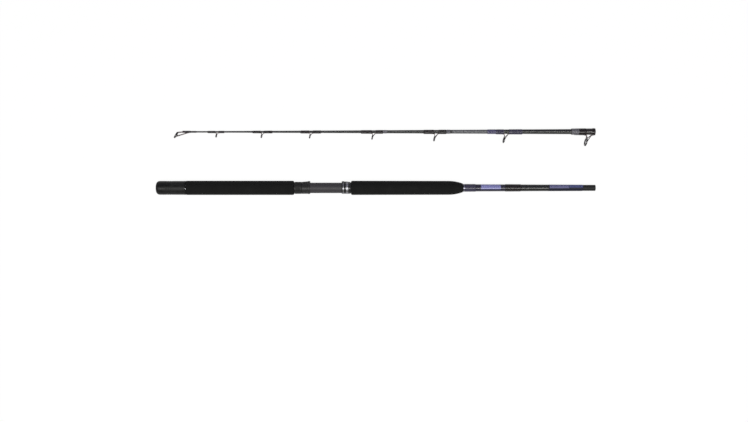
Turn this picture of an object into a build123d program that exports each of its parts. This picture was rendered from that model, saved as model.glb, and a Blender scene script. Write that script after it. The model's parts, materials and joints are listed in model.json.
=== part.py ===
from build123d import *
import os
from math import asin, atan2, cos, degrees, radians, sin, tan

# A two-piece heavy fishing rod, taken down and laid on a flat surface: the butt section in
# front and the tip section behind it, with both ferrule ends towards +X.
# Millimetres, +Z up.  Origin at the middle of the bounding box's base.
# Each section is first drawn in its own frame: the rod's axis along X, the side that carries
# the guides and the reel along +Z.

# ---- butt section: lengths along the rod, from the cap's face to the male ferrule's end ----
cap_length = 70.0
rear_grip_length = 251.0
seat_length = 132.0            # reel seat showing between the two grips
foregrip_length = 262.0
bare_butt_length = 307.0       # blank showing in front of the foregrip
grip_d = 33.0
foregrip_thinning = 0.8        # on the diameter, from its back to where it starts to round in
foregrip_nose_length = 34.0
foregrip_nose_wall = 0.8       # foam left at the very front
grip_rounding = 4.0
cap_wall = 2.7
cap_end_wall = 4.0
cap_rounding = 5.0

# ---- butt blank ----
blank_grip_d = 18.0            # parallel stretch inside the handle
blank_thinning = 0.8           # on the diameter, under the foregrip
male_d = 13.9                  # male ferrule
ferrule_depth = 30.0           # how far the two sections push together
ferrule_shoulder = 0.35        # height of the step that the sleeve's mouth stops at
butt_wall = 2.0
ferrule_clearance = 0.06       # radial, between the male end and its socket

# ---- gimbal under the cap ----
gimbal_d = 27.0
gimbal_socket_depth = 42.0
gimbal_slot_width = 6.5
gimbal_slot_depth = 15.0
gimbal_chamfer = 1.2
cap_clearance = 0.08           # radial

# ---- reel seat ----
barrel_wall = 2.0
barrel_tenon = 5.0             # barrel hidden in each grip
saddle_drop = 1.2              # flat that the reel's foot stands on
thread_pitch = 2.5
nut_wall = 1.8
nut_length = 16.5
nut_chamfer = 0.6
nut_pad_count = 6
nut_pad_depth = 0.8
nut_pad_width = 7.3
nut_pad_margin = 3.5           # from a pad to the nut's ends
hood_wall = 1.7
hood_length = 19.0
hood_travel = 20.0
fixed_hood_length = 20.0
hood_mouth_wall = 1.3          # over and beside the reel's foot
hood_mouth_side = 2.25
hood_mouth_rounding = 2.0
flute_angles = (50, 95, 265, 310)
flute_length = 8.0
flute_width = 4.2
flute_depth = 0.6
pocket_width = 13.0
pocket_depth = 13.0
foot_thickness = 3.3           # space under a hood, above the saddle's flat
cushion_wall = 0.7
hood_rim_length = 5.0
hood_rim_rise = 0.35
key_width = 4.0
key_depth = 1.2
seat_clearance = 0.06          # radial, hood and nut on the barrel
key_clearance = 0.3
key_root = 0.46                # how far the key reaches into the hood's wall
face_gap = 0.5                 # between faces of pieces that move apart
arbor_wall = 1.2
arbor_length = 22.0
arbor_count = 3
band_widths = (2.4, 5.2)       # two bright bands round the fixed hood
band_starts = (2.6, 10.0)
band_rise = 0.3

# ---- windings and trim on the butt blank ----
check_length = 3.0
check_wall = 0.75
foregrip_winding_length = 26.0
label_winding_gap = 97.0       # from the foregrip to the second winding
label_winding_length = 37.0
butt_winding_wall = 0.6
butt_winding_slope = 1.5
winding_edge = 0.05            # thickness that a winding's end is trimmed to

# ---- tip section: stations from the socket's mouth towards the tip ----
section_spacing = 131.0        # between the two sections' axes as they lie
tip_blank_length = 931.0
tip_blank_step = 1.5           # on the diameter, from the male ferrule down to the tip blank
tip_end_d = 3.4
tip_taper_power = 1.2
tip_steps = 12                 # straight stretches that the taper is made of
tip_wall = 0.9
sleeve_grip = 25.0             # sleeve's hold on the tip blank, past the socket
sleeve_wall = 0.74             # at the socket's mouth
sleeve_thinning = 1.5          # on the diameter, from one end to the other
swing_gap = 2.0                # between the two ferrule ends when the sections are in line

# ---- guides, tip end first: place as a share of the way from the stripper guide to the tip,
# ring diameter, ring height, wraps tipward and buttward ----
stripper_station = 20.0
guide_layout = (
    (0.9172, 8.0, 9.4, 20.0, 15.0),
    (0.8047, 9.0, 10.2, 21.0, 21.0),
    (0.6847, 10.0, 10.8, 22.0, 21.0),
    (0.5297, 11.0, 13.2, 27.0, 19.0),
    (0.3758, 13.0, 16.4, 26.0, 20.0),
    (0.2033, 15.0, 19.4, 20.0, 33.0),
    (0.0, 20.0, 24.2, 29.0, 8.5),
)
guide_lean = 12.0              # degrees, the ring's far side leans to the tip
leg_rake = 0.42                # rear foot's set-back, as a share of the ring's height
ring_holder_wall = 0.9
ring_holder_width = 1.7
insert_wall_share = 0.12       # ceramic ring's wall, as a share of the ring's diameter
insert_width = 2.3
leg_wire_share = 0.07          # leg wire's thickness, as a share of the ring's diameter
leg_wire_least = 0.8
foot_width_share = 0.2
foot_width_least = 1.6
foot_height = 0.8
foot_end_share = 0.3           # foot's thickness at its thin end
leg_root_share = 0.4           # height inside the foot at which a leg's wire ends
front_foot_inset = 3.0         # how far a wrap runs past a foot's end
rear_foot_inset = 1.8
front_leg = (150.0, 0.36)      # angle on the ring, and spread at the foot as a share of its width
rear_leg = (100.0, 0.3)
wrap_wall = 0.45
wrap_edge = 0.1                # thickness of a wrap's ends
wrap_clear = 0.8               # wrap stops short of the legs
wrap_slope = 1.2
trim_bands = (                 # trim windings: guide's number, which wrap they follow, length
    (7, "front", 7.0),
    (6, "front", 20.0),
    (5, "rear", 8.5),
    (4, "rear", 9.0),
)
trim_wall = 0.4
trim_gap = 0.2

# ---- tip-top ----
tip_tube_length = 19.0
tip_tube_wall = 0.85
tip_ring_d = 16.5
tip_ring_lean = 32.0
tip_ring_ahead = 16.0          # from the tube's front to the ring's centre
tip_ring_height = 7.5
tip_wire_d = 1.3
tip_arm_angle = 145.0          # where the arms and the struts meet the ring
tip_strut_angle = 60.0
tip_strut_setback = 4.0
tip_winding_length = 14.0
tip_winding_slope = 2.0

# ---- worked out from the sizes above ----
rear_grip_start = cap_length
seat_start = rear_grip_start + rear_grip_length
seat_end = seat_start + seat_length
foregrip_end = seat_end + foregrip_length
butt_length = foregrip_end + bare_butt_length
label_winding_start = foregrip_end + label_winding_gap
blank_front_d = blank_grip_d - blank_thinning
foregrip_front_d = grip_d - foregrip_thinning
foregrip_nose_d = blank_front_d + 2 * foregrip_nose_wall
cap_d = gimbal_d + 2 * cap_wall

barrel_d = blank_grip_d + 2 * (arbor_wall + barrel_wall)
barrel_r = barrel_d / 2
nut_d = barrel_d + 2 * nut_wall
hood_d = barrel_d + 2 * hood_wall
saddle_z = barrel_r - saddle_drop
pocket_top = saddle_z + foot_thickness
hood_mouth_rise = pocket_top + hood_mouth_wall - hood_d / 2
hood_mouth_width = pocket_width + 2 * hood_mouth_side
nut_start = seat_start + 2 * face_gap
hood_start = nut_start + nut_length + face_gap
fixed_hood_start = seat_end - fixed_hood_length - 2 * face_gap

socket_depth = ferrule_depth + 1.0
sleeve_length = socket_depth + sleeve_grip
sleeve_mouth_d = male_d + 2 * (ferrule_clearance + sleeve_wall)
sleeve_far_d = sleeve_mouth_d - sleeve_thinning
tip_blank_d = male_d - tip_blank_step
tip_length = socket_depth + tip_blank_length
tip_ring_station = tip_length + tip_ring_ahead
guide_run = tip_length - stripper_station
guide_sizes = [(stripper_station + share * guide_run, *sizes) for share, *sizes in guide_layout]
axis_height = max(grip_d, cap_d) / 2

# The tip section lies on two points, the stripper guide's rim and the tip-top's ring, with its
# ferrule end as high as the butt section's axis.  roll turns the guides down from level and
# pitch lowers the tip.  Each depends a little on the other, so they are settled in turns.
stripper_d, stripper_height = guide_sizes[-1][1:3]
pitch = 0.0
for settle in range(5):
    stripper_axis = axis_height - stripper_station * tan(radians(pitch))
    roll = degrees(asin((stripper_axis - stripper_d / 2) / stripper_height))
    tip_ring_reach = tip_ring_height * sin(radians(roll)) + tip_ring_d / 2
    pitch = degrees(atan2(axis_height - tip_ring_reach, tip_ring_station))

tip_side_reach = sleeve_mouth_d / 2 + wrap_wall
butt_y = -(section_spacing + tip_side_reach - axis_height) / 2
tip_y = butt_y + section_spacing
end_x = butt_length / 2

lay_butt = Pos(end_x - butt_length, butt_y, axis_height) * Rot(-90 - roll, 0, 0)
lay_tip = Pos(end_x, tip_y, axis_height - swing_gap * tan(radians(pitch / 2)))
lay_tip = lay_tip * Rot(0, -pitch, 0) * Rot(0, 0, 180) * Rot(-90 - roll, 0, 0)


def turned(points):
    """A solid turned about the rod's axis from an outline of (x, radius) points."""
    outline = Polyline(*[(x, r) for x, r in points], close=True)
    return revolve(make_face(outline), Axis.X)


def sleeve(x0, x1, inner, outer, inner_end=None, outer_end=None):
    """A tube from x0 to x1.  The radii may change along it."""
    inner_end = inner if inner_end is None else inner_end
    outer_end = outer if outer_end is None else outer_end
    return turned([(x0, inner), (x0, outer), (x1, outer_end), (x1, inner_end)])


def rod(x0, x1, radius):
    """A solid cylinder along the rod's axis."""
    return Pos((x0 + x1) / 2, 0, 0) * Cylinder(radius, x1 - x0, rotation=(0, 90, 0))


def block(x0, x1, y0, y1, z0, z1):
    """A box between two corners."""
    middle = Pos((x0 + x1) / 2, (y0 + y1) / 2, (z0 + z1) / 2)
    return middle * Box(x1 - x0, y1 - y0, z1 - z0)


def wire(start, end, thickness):
    """A straight round wire with ball ends."""
    line = Vector(*end) - Vector(*start)
    plane = Plane(origin=start, z_dir=line)
    shaft = plane * Cylinder(thickness / 2, line.length, align=(Align.CENTER, Align.CENTER, Align.MIN))
    return shaft + Pos(*start) * Sphere(thickness / 2) + Pos(*end) * Sphere(thickness / 2)


def butt_radius(x):
    """Outer radius of the butt blank."""
    stations = (
        (0.0, blank_grip_d / 2),
        (seat_end, blank_grip_d / 2),
        (foregrip_end, blank_front_d / 2),
        (butt_length - ferrule_depth, male_d / 2 + ferrule_shoulder),
    )
    for (x0, r0), (x1, r1) in zip(stations, stations[1:]):
        if x <= x1:
            return r0 + (r1 - r0) * (x - x0) / (x1 - x0)
    return male_d / 2


def tip_stop(step):
    """A station on the tip blank and its radius there, thinning on a power law."""
    share = 1 - step / tip_steps
    thick = tip_end_d + (tip_blank_d - tip_end_d) * share ** tip_taper_power
    return socket_depth + tip_blank_length * step / tip_steps, thick / 2


tip_stops = [tip_stop(step) for step in range(tip_steps + 1)]


def tip_radius(x):
    """Outer radius of the tip blank, straight from one stop to the next."""
    for (x0, r0), (x1, r1) in zip(tip_stops, tip_stops[1:]):
        if x <= x1:
            return r0 + (r1 - r0) * (x - x0) / (x1 - x0)
    return tip_stops[-1][1]


def sleeve_radius(x):
    """Outer radius of the ferrule sleeve, straight from its mouth to its far end."""
    return (sleeve_mouth_d + (sleeve_far_d - sleeve_mouth_d) * x / sleeve_length) / 2


def section_radius(x):
    """Outer radius of whatever a guide stands on."""
    return sleeve_radius(x) if x < sleeve_length else tip_radius(x)


# ---- butt section: blank, gimbal, cap and grips ----
def make_butt_blank():
    shoulder = butt_length - ferrule_depth
    stops = (cap_length - gimbal_socket_depth, seat_end, foregrip_end, shoulder)
    outer = [(x, butt_radius(x)) for x in stops]
    outer += [(shoulder, male_d / 2), (butt_length, male_d / 2)]
    inner = [(x, butt_radius(x) - butt_wall) for x in (butt_length, *reversed(stops))]
    return turned(outer + inner)


def make_gimbal():
    start = cap_end_wall
    body = rod(start, cap_length, gimbal_d / 2)
    body = chamfer(body.edges().filter_by(GeomType.CIRCLE).sort_by(Axis.X)[0], gimbal_chamfer)
    body -= rod(cap_length - gimbal_socket_depth, cap_length, blank_grip_d / 2)
    half = gimbal_slot_width / 2
    reach = gimbal_d
    slot = block(start - gimbal_slot_width, start + gimbal_slot_depth, -half, half, -reach, reach)
    return body - slot - Rot(90, 0, 0) * slot


def make_butt_cap():
    cap = rod(0, cap_length - face_gap, cap_d / 2)
    cap = fillet(cap.edges().filter_by(GeomType.CIRCLE).sort_by(Axis.X)[0], cap_rounding)
    return cap - rod(cap_end_wall - face_gap, cap_length, gimbal_d / 2 + cap_clearance)


def make_rear_grip():
    grip = rod(rear_grip_start, seat_start, grip_d / 2)
    grip = fillet(grip.edges().filter_by(GeomType.CIRCLE).sort_by(Axis.X)[-1], grip_rounding)
    grip -= rod(rear_grip_start, seat_start, blank_grip_d / 2)
    return grip - rod(seat_start - barrel_tenon, seat_start, barrel_r)


def make_foregrip():
    nose_start = foregrip_end - foregrip_nose_length
    back = grip_d / 2
    front = foregrip_front_d / 2
    nose = foregrip_nose_d / 2
    round_in = grip_rounding
    with BuildPart() as grip:
        with BuildSketch(Plane.XY):
            with BuildLine():
                Line((seat_end, 0), (seat_end, back - round_in))
                JernArc((seat_end, back - round_in), (0, 1), round_in, -90)
                Line((seat_end + round_in, back), (nose_start, front))
                Spline(
                    (nose_start, front),
                    (nose_start + foregrip_nose_length * 0.62, front - (front - nose) * 0.36),
                    (foregrip_end, nose),
                    tangents=((1, -0.01), (1, -0.5)),
                )
                Line((foregrip_end, nose), (foregrip_end, 0))
                Line((foregrip_end, 0), (seat_end, 0))
            make_face()
        revolve(axis=Axis.X)
    bore = sleeve(seat_end, foregrip_end, 0, blank_grip_d / 2, 0, butt_radius(foregrip_end))
    return grip.part - bore - rod(seat_end, seat_end + barrel_tenon, barrel_r)


# ---- reel seat ----
def make_barrel():
    start = seat_start - barrel_tenon
    end = seat_end + barrel_tenon
    barrel = sleeve(start, end, barrel_r - barrel_wall, barrel_r)
    saddle_start = hood_start + hood_length - pocket_depth
    saddle_end = fixed_hood_start + pocket_depth
    barrel -= block(saddle_start, saddle_end, -barrel_d, barrel_d, saddle_z, barrel_d)
    half = key_width / 2
    key_floor = barrel_r - key_depth
    keyway_end = hood_start + hood_length + hood_travel + face_gap
    return barrel - block(seat_start + face_gap, keyway_end, -half, half, -barrel_d, -key_floor)


def make_arbors():
    arbors = Part()
    spare = seat_length + 2 * barrel_tenon - arbor_count * arbor_length
    step = arbor_length + spare / (arbor_count - 1)
    for index in range(arbor_count):
        start = seat_start - barrel_tenon + index * step
        arbors += sleeve(start, start + arbor_length, blank_grip_d / 2, barrel_r - barrel_wall)
    return arbors


def make_lock_nut():
    end = nut_start + nut_length
    nut = rod(nut_start, end, nut_d / 2)
    nut = chamfer(nut.edges().filter_by(GeomType.CIRCLE), nut_chamfer)
    half = nut_pad_width / 2
    floor = nut_d / 2 - nut_pad_depth
    pad = block(nut_start + nut_pad_margin, end - nut_pad_margin, -half, half, floor, nut_d)
    for index in range(nut_pad_count):
        nut -= Rot(index * 360 / nut_pad_count, 0, 0) * pad
    return nut - rod(nut_start, end, barrel_r + seat_clearance)


def hood_outside(start, length, grow=0.0):
    """A hood's outside, its mouth at the +X end: a ring with a wedge over the reel's foot."""
    end = start + length
    ring = rod(start, end, hood_d / 2 + grow)
    wedge = sleeve(start, end, 0, hood_d / 2 + grow, 0, hood_d / 2 + hood_mouth_rise + grow)
    half = hood_mouth_width / 2 + grow
    keep = block(start, end, -half, half, 0, hood_d)
    keep = fillet(keep.edges().filter_by(Axis.X).sort_by(Axis.Z)[-2:], hood_mouth_rounding)
    return ring + (wedge & keep)


def foot_pocket(end, depth, top):
    """The space under a hood's mouth for the end of a reel's foot, as sloped as the hood."""
    half = pocket_width / 2 - (pocket_top - top)
    deep_top = top - hood_mouth_rise * depth / hood_length
    return sleeve(end - depth, end, 0, deep_top, 0, top) & block(end - depth, end, -half, half, 0, hood_d)


def make_cushion(end):
    depth = pocket_depth - cushion_wall
    lining = foot_pocket(end, pocket_depth, pocket_top)
    lining -= foot_pocket(end, depth, pocket_top - cushion_wall)
    return lining - rod(end - pocket_depth, end, barrel_r + seat_clearance)


def make_sliding_hood():
    end = hood_start + hood_length
    hood = hood_outside(hood_start, hood_length)
    rim = hood_outside(hood_start, hood_length, hood_rim_rise)
    hood += rim & block(end - hood_rim_length, end, -hood_d, hood_d, -hood_d, hood_d)
    flute_middle = hood_start + (hood_length - hood_rim_length) / 2
    for angle in flute_angles:
        side = Rot(angle, 0, 0) * Pos(flute_middle, 0, hood_d / 2)
        hood -= side * Box(flute_length, flute_width, 2 * flute_depth)
    hood -= rod(hood_start, end, barrel_r + seat_clearance)
    hood -= foot_pocket(end, pocket_depth, pocket_top)
    half = key_width / 2 - key_clearance
    top = -(barrel_r - key_depth + key_clearance)
    return hood + block(hood_start, end, -half, half, -(barrel_r + key_root), top)


def flip_hood(shape):
    """Turns a hood drawn with its mouth at +X to face -X, with its mouth at fixed_hood_start."""
    return Pos(fixed_hood_start, 0, 0) * Rot(0, 0, 180) * shape


def make_fixed_hood():
    hood = hood_outside(-fixed_hood_length, fixed_hood_length)
    hood -= rod(-fixed_hood_length, 0, barrel_r)
    hood -= foot_pocket(0, pocket_depth, pocket_top)
    return flip_hood(hood)


def make_fixed_hood_cushion():
    depth = pocket_depth - cushion_wall
    lining = foot_pocket(0, pocket_depth, pocket_top)
    lining -= foot_pocket(0, depth, pocket_top - cushion_wall)
    return flip_hood(lining - rod(-pocket_depth, 0, barrel_r))


def make_hood_bands():
    inside = hood_outside(-fixed_hood_length, fixed_hood_length)
    outside = hood_outside(-fixed_hood_length, fixed_hood_length, band_rise)
    bands = Part()
    for start, width in zip(band_starts, band_widths):
        slab = block(-start - width, -start, -hood_d, hood_d, -hood_d, hood_d)
        bands += (outside & slab) - inside
    return flip_hood(bands)


# ---- trim on the butt blank ----
def make_winding_check():
    end = foregrip_end + check_length
    outer = butt_radius(foregrip_end) + check_wall
    check = rod(foregrip_end, end, outer)
    front_edge = check.edges().filter_by(GeomType.CIRCLE).sort_by(Axis.X)[-1]
    check = fillet(front_edge, check_wall * 0.7)
    return check - sleeve(foregrip_end, end, 0, butt_radius(foregrip_end), 0, butt_radius(end))


def butt_winding(start, length):
    """A band of thread round the butt blank, its ends sloped down to the blank."""
    end = start + length
    stops = (start, start + butt_winding_slope, end - butt_winding_slope, end)
    walls = (winding_edge, butt_winding_wall, butt_winding_wall, winding_edge)
    outer = [(x, butt_radius(x) + wall) for x, wall in zip(stops, walls)]
    return turned(outer + [(end, butt_radius(end)), (start, butt_radius(start))])


# ---- tip section ----
def make_tip_blank():
    return turned(tip_stops + [(x, r - tip_wall) for x, r in reversed(tip_stops)])


def make_ferrule_sleeve():
    socket = male_d / 2 + ferrule_clearance
    inner = [(0.0, socket), (socket_depth, socket), (socket_depth, tip_radius(socket_depth))]
    inner.append((sleeve_length, tip_radius(sleeve_length)))
    return turned(inner + [(sleeve_length, sleeve_far_d / 2), (0.0, sleeve_mouth_d / 2)])


def section_core():
    """Everything inside the tip section's outer surface, for fitting pieces to it."""
    outer = [(0.0, sleeve_mouth_d / 2), (sleeve_length, sleeve_far_d / 2)]
    outer.append((sleeve_length, tip_radius(sleeve_length)))
    outer += [(x, r) for x, r in tip_stops if x > sleeve_length]
    return turned(outer + [(tip_length, 0), (0, 0)])


def foot(x0, x1, core, width):
    """A guide foot from x0 to x1, thinning to x1, its underside curved to fit the blank."""
    thick = section_radius(x0) + foot_height
    thin = section_radius(x1) + foot_height * foot_end_share
    low = min(section_radius(x0), section_radius(x1)) - foot_height
    profile = Polyline((x0, low), (x0, thick), (x1, thin), (x1, low), close=True)
    return extrude(Plane.XZ * make_face(profile), width / 2, both=True) - core


def holder_ring(diameter, place):
    """The metal ring that holds a ceramic ring, and the space inside it."""
    inside = place * Cylinder(diameter / 2 - ring_holder_wall, diameter, rotation=(0, 90, 0))
    holder = Cylinder(diameter / 2, ring_holder_width, rotation=(0, 90, 0))
    holder = fillet(holder.edges().filter_by(GeomType.CIRCLE), ring_holder_width * 0.3)
    return place * holder, inside


def rim_point(diameter, place, side, angle):
    """A point on a holder ring, at an angle from its far side."""
    reach = (diameter - ring_holder_wall) / 2
    turn = radians(angle)
    return tuple((place * Pos(0, side * reach * sin(turn), reach * cos(turn))).position)


def ceramic_ring(diameter, place):
    outer = diameter / 2 - ring_holder_wall
    wall = diameter * insert_wall_share
    ring = Cylinder(outer, insert_width, rotation=(0, 90, 0))
    ring -= Cylinder(outer - wall, insert_width, rotation=(0, 90, 0))
    return place * fillet(ring.edges().filter_by(GeomType.CIRCLE), wall * 0.4)


def leg_wire(ring_d):
    return max(ring_d * leg_wire_share, leg_wire_least)


def guide_place(size):
    station, height = size[0], size[2]
    return Pos(station, 0, height) * Rot(0, guide_lean, 0)


def guide_roots(size):
    """The stations where a guide's front and rear legs stand."""
    station, ring_d, height = size[:3]
    front_root = station - ring_d / 4 * sin(radians(guide_lean))
    return front_root, front_root - leg_rake * height


def wrap_ends(size):
    """Where a guide's two wraps start beside its legs, and where they end."""
    ring_d, front_wrap, rear_wrap = size[1], size[3], size[4]
    front_root, rear_root = guide_roots(size)
    gap = wrap_clear + leg_wire(ring_d)
    front = (front_root + gap, front_root + front_wrap)
    return front, (rear_root - gap, rear_root - rear_wrap)


def make_guide_frame(size, core):
    ring_d = size[1]
    front_root, rear_root = guide_roots(size)
    front_end, rear_end = [ends[1] for ends in wrap_ends(size)]
    place = guide_place(size)
    frame, inside = holder_ring(ring_d, place)
    wire_d = leg_wire(ring_d)
    foot_width = max(ring_d * foot_width_share, foot_width_least)
    for root, (angle, spread) in ((front_root, front_leg), (rear_root, rear_leg)):
        for side in (-1, 1):
            stand = (root, side * foot_width * spread, section_radius(root) + foot_height * leg_root_share)
            frame += wire(rim_point(ring_d, place, side, angle), stand, wire_d)
    frame += foot(front_root - wire_d / 2, front_end - front_foot_inset, core, foot_width)
    frame += foot(rear_root + wire_d / 2, rear_end + rear_foot_inset, core, foot_width)
    return frame - inside - core


def make_guide_ring(size):
    return ceramic_ring(size[1], guide_place(size))


def wrap_sleeve(x0, x1, core):
    """Thread over the blank and a guide's foot: a tapered sleeve, thicker on the foot's side."""
    low, high = min(x0, x1), max(x0, x1)
    lift = (foot_height + wrap_edge) / 2
    stops = (low, low + wrap_slope, high - wrap_slope, high)
    walls = (wrap_edge, wrap_wall, wrap_wall, wrap_edge)
    outer = [(x, section_radius(x) + wall + lift) for x, wall in zip(stops, walls)]
    return Pos(0, 0, lift) * turned(outer + [(high, 0), (low, 0)]) - core


def make_guide_wraps(size, core, frame):
    wraps = Part()
    for start, end in wrap_ends(size):
        wraps += wrap_sleeve(start, end, core) - frame
    return wraps


def make_trim_windings(core):
    bands = Part()
    for number, wrap, length in trim_bands:
        front, rear = wrap_ends(guide_sizes[number - 1])
        if wrap == "front":
            start = front[1] + trim_gap
        else:
            start = rear[1] - trim_gap - length
        outer = [(x, section_radius(x) + trim_wall) for x in (start, start + length)]
        bands += turned(outer + [(start + length, 0), (start, 0)]) - core
    return bands


# ---- tip-top ----
tip_tube_front = tip_length + tip_tube_wall
tip_tube_back = tip_tube_front - tip_tube_length
tip_ring_place = Pos(tip_ring_station, 0, tip_ring_height) * Rot(0, tip_ring_lean, 0)


def make_tip_top(core):
    tube_r = tip_radius(tip_tube_back) + tip_tube_wall
    tube = rod(tip_tube_back, tip_tube_front, tube_r)
    tube = fillet(tube.edges().filter_by(GeomType.CIRCLE), tip_tube_wall * 0.5)
    holder, inside = holder_ring(tip_ring_d, tip_ring_place)
    frame = tube + holder
    for side in (-1, 1):
        arm_root = (tip_tube_front - tip_wire_d, side * (tube_r - tip_wire_d / 2), 0)
        strut_root = (tip_tube_back + tip_strut_setback, side * tip_wire_d / 2, tube_r - tip_wire_d / 4)
        for root, angle in ((arm_root, tip_arm_angle), (strut_root, tip_strut_angle)):
            frame += wire(root, rim_point(tip_ring_d, tip_ring_place, side, angle), tip_wire_d)
    return frame - inside - core


def make_tip_winding(core):
    start = tip_tube_back - tip_winding_length
    stops = ((start, wrap_edge), (start + tip_winding_slope, trim_wall), (tip_tube_back, trim_wall))
    outer = [(x, tip_radius(x) + wall) for x, wall in stops]
    return turned(outer + [(tip_tube_back, 0), (start, 0)]) - core


def save(name, shape, place):
    export_step(place * shape, "parts/" + name + ".step")


os.makedirs("parts", exist_ok=True)

save("butt_blank", make_butt_blank(), lay_butt)
save("gimbal", make_gimbal(), lay_butt)
save("butt_cap", make_butt_cap(), lay_butt)
save("rear_grip", make_rear_grip(), lay_butt)
save("foregrip", make_foregrip(), lay_butt)
save("seat_barrel", make_barrel(), lay_butt)
save("seat_arbors", make_arbors(), lay_butt)
save("lock_nut", make_lock_nut(), lay_butt)
save("sliding_hood", make_sliding_hood(), lay_butt)
save("sliding_hood_cushion", make_cushion(hood_start + hood_length), lay_butt)
save("fixed_hood", make_fixed_hood(), lay_butt)
save("fixed_hood_cushion", make_fixed_hood_cushion(), lay_butt)
save("fixed_hood_bands", make_hood_bands(), lay_butt)
save("winding_check", make_winding_check(), lay_butt)
save("foregrip_winding", butt_winding(foregrip_end + check_length, foregrip_winding_length), lay_butt)
save("label_winding", butt_winding(label_winding_start, label_winding_length), lay_butt)

core = section_core()
save("tip_blank", make_tip_blank(), lay_tip)
save("ferrule_sleeve", make_ferrule_sleeve(), lay_tip)
save("trim_windings", make_trim_windings(core), lay_tip)
for index, size in enumerate(guide_sizes):
    name = "guide_" + str(index + 1)
    frame = make_guide_frame(size, core)
    save(name + "_frame", frame, lay_tip)
    save(name + "_ring", make_guide_ring(size), lay_tip)
    save(name + "_wraps", make_guide_wraps(size, core, frame), lay_tip)
save("tip_top_frame", make_tip_top(core), lay_tip)
save("tip_top_ring", ceramic_ring(tip_ring_d, tip_ring_place), lay_tip)
save("tip_top_winding", make_tip_winding(core), lay_tip)

print("butt section %.1f mm, tip section %.1f mm" % (butt_length, tip_length))
print("lock nut makes %.1f turns over the hood's travel" % (hood_travel / thread_pitch))
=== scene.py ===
import json
import math
import bpy
from mathutils import Matrix, Vector


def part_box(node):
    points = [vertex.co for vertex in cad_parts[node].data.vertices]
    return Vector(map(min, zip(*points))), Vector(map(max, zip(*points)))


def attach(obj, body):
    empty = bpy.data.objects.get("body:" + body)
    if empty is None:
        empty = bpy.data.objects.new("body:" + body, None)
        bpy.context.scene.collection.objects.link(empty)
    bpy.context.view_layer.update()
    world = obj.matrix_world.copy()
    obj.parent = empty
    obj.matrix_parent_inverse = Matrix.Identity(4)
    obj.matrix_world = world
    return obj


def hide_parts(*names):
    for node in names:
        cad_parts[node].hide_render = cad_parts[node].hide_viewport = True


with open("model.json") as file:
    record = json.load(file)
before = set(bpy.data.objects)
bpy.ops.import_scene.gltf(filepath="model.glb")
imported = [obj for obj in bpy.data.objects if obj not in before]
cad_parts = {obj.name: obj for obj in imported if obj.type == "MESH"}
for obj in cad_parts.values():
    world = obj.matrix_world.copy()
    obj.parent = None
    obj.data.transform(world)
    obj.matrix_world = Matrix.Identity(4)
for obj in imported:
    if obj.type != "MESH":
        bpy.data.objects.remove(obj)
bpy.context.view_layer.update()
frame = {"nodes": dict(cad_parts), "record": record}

nodes = frame["nodes"]
mounts = {mount["name"]: mount for mount in frame["record"]["mounts"]}
mm = 0.001
weld = 0.002 * mm              # points closer than this are merged
overlap = 0.1 * mm             # how far a hidden bore reaches into the piece under it
boreDip = 0.25 * mm            # a station this far under its neighbours' line has only bore points
cornerShare = 0.49             # most of an edge that one rounded corner may take
sameStation = 2e-6             # stations closer than this are one
rounds = {"handle": 112, "butt": 96, "seat": 120, "ring": 72, "tip": 64, "tipTop": 48}    # steps


# each section has a frame of its own: x along the rod, z towards the guides or the reel

def sectionFrame(origin, along, guideSide):
    along = Vector(along).normalized()
    side = Vector(guideSide)
    up = (side - along * side.dot(along)).normalized()
    turn = Matrix((along, up.cross(along), up)).transposed().to_4x4()
    return Matrix.Translation(Vector(origin)) @ turn


maleEnd = mounts["ferrule_male_end"]
socket = mounts["ferrule_socket"]
mouthSide = Vector(mounts["reel_foot_saddle"]["axis"])
buttOrigin = Vector((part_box("butt_cap")[0].x, maleEnd["pos_m"][1], maleEnd["pos_m"][2]))
buttPlace = sectionFrame(buttOrigin, (1, 0, 0), mouthSide)
socketOut = Vector(socket["axis"])
socketMouth = Vector(socket["pos_m"]) + socketOut * maleEnd["dims"]["length_mm"] / 2 * mm
tipPlace = sectionFrame(socketMouth, -socketOut, (0, -mouthSide.y, mouthSide.z))


def cadPoints(name, place):
    back = place.inverted()
    return [back @ vertex.co for vertex in nodes[name].data.vertices]


def cadSpan(name, place):
    stations = [point.x for point in cadPoints(name, place)]
    return min(stations), max(stations)


def cadOutline(name, place):   # largest radius at each station where the CAD solid has points
    widest = {}
    for point in cadPoints(name, place):
        station = round(point.x, 5)
        widest[station] = max(widest.get(station, 0), math.hypot(point.y, point.z))
    outline = sorted(widest.items())
    while True:                # drops the stations where only the bore has points
        dips = [0] + [r0 + (r1 - r0) * (x - x0) / (x1 - x0) - radius
                      for (x0, r0), (x, radius), (x1, r1)
                      in zip(outline, outline[1:], outline[2:])] + [0]
        deepest = max(range(len(outline)), key=lambda index: dips[index])
        if dips[deepest] < boreDip:
            return outline
        outline.pop(deepest)


def cadRadius(name):           # widest radius of a piece of the butt section
    return max(radius for station, radius in cadOutline(name, buttPlace))


def radiusAt(outline, station):
    for (x0, r0), (x1, r1) in zip(outline, outline[1:]):
        if station <= x1:
            return r0 + (r1 - r0) * max(station - x0, 0) / max(x1 - x0, 1e-6)
    return outline[-1][1]


print("stage: frame read")


# tools shared by all pieces

def deselectAll():
    if bpy.context.mode != "OBJECT":
        bpy.ops.object.mode_set(mode="OBJECT")
    bpy.ops.object.select_all(action="DESELECT")
    bpy.context.view_layer.objects.active = None


def takeUp(*pieces):           # selects the pieces, the first one active
    deselectAll()
    for piece in pieces:
        piece.select_set(True)
    bpy.context.view_layer.objects.active = pieces[0]
    return pieces[0]


def applyPlace():              # bakes the active object's place, turn and size into its mesh
    bpy.ops.object.transform_apply(location=True, rotation=True, scale=True)


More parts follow.
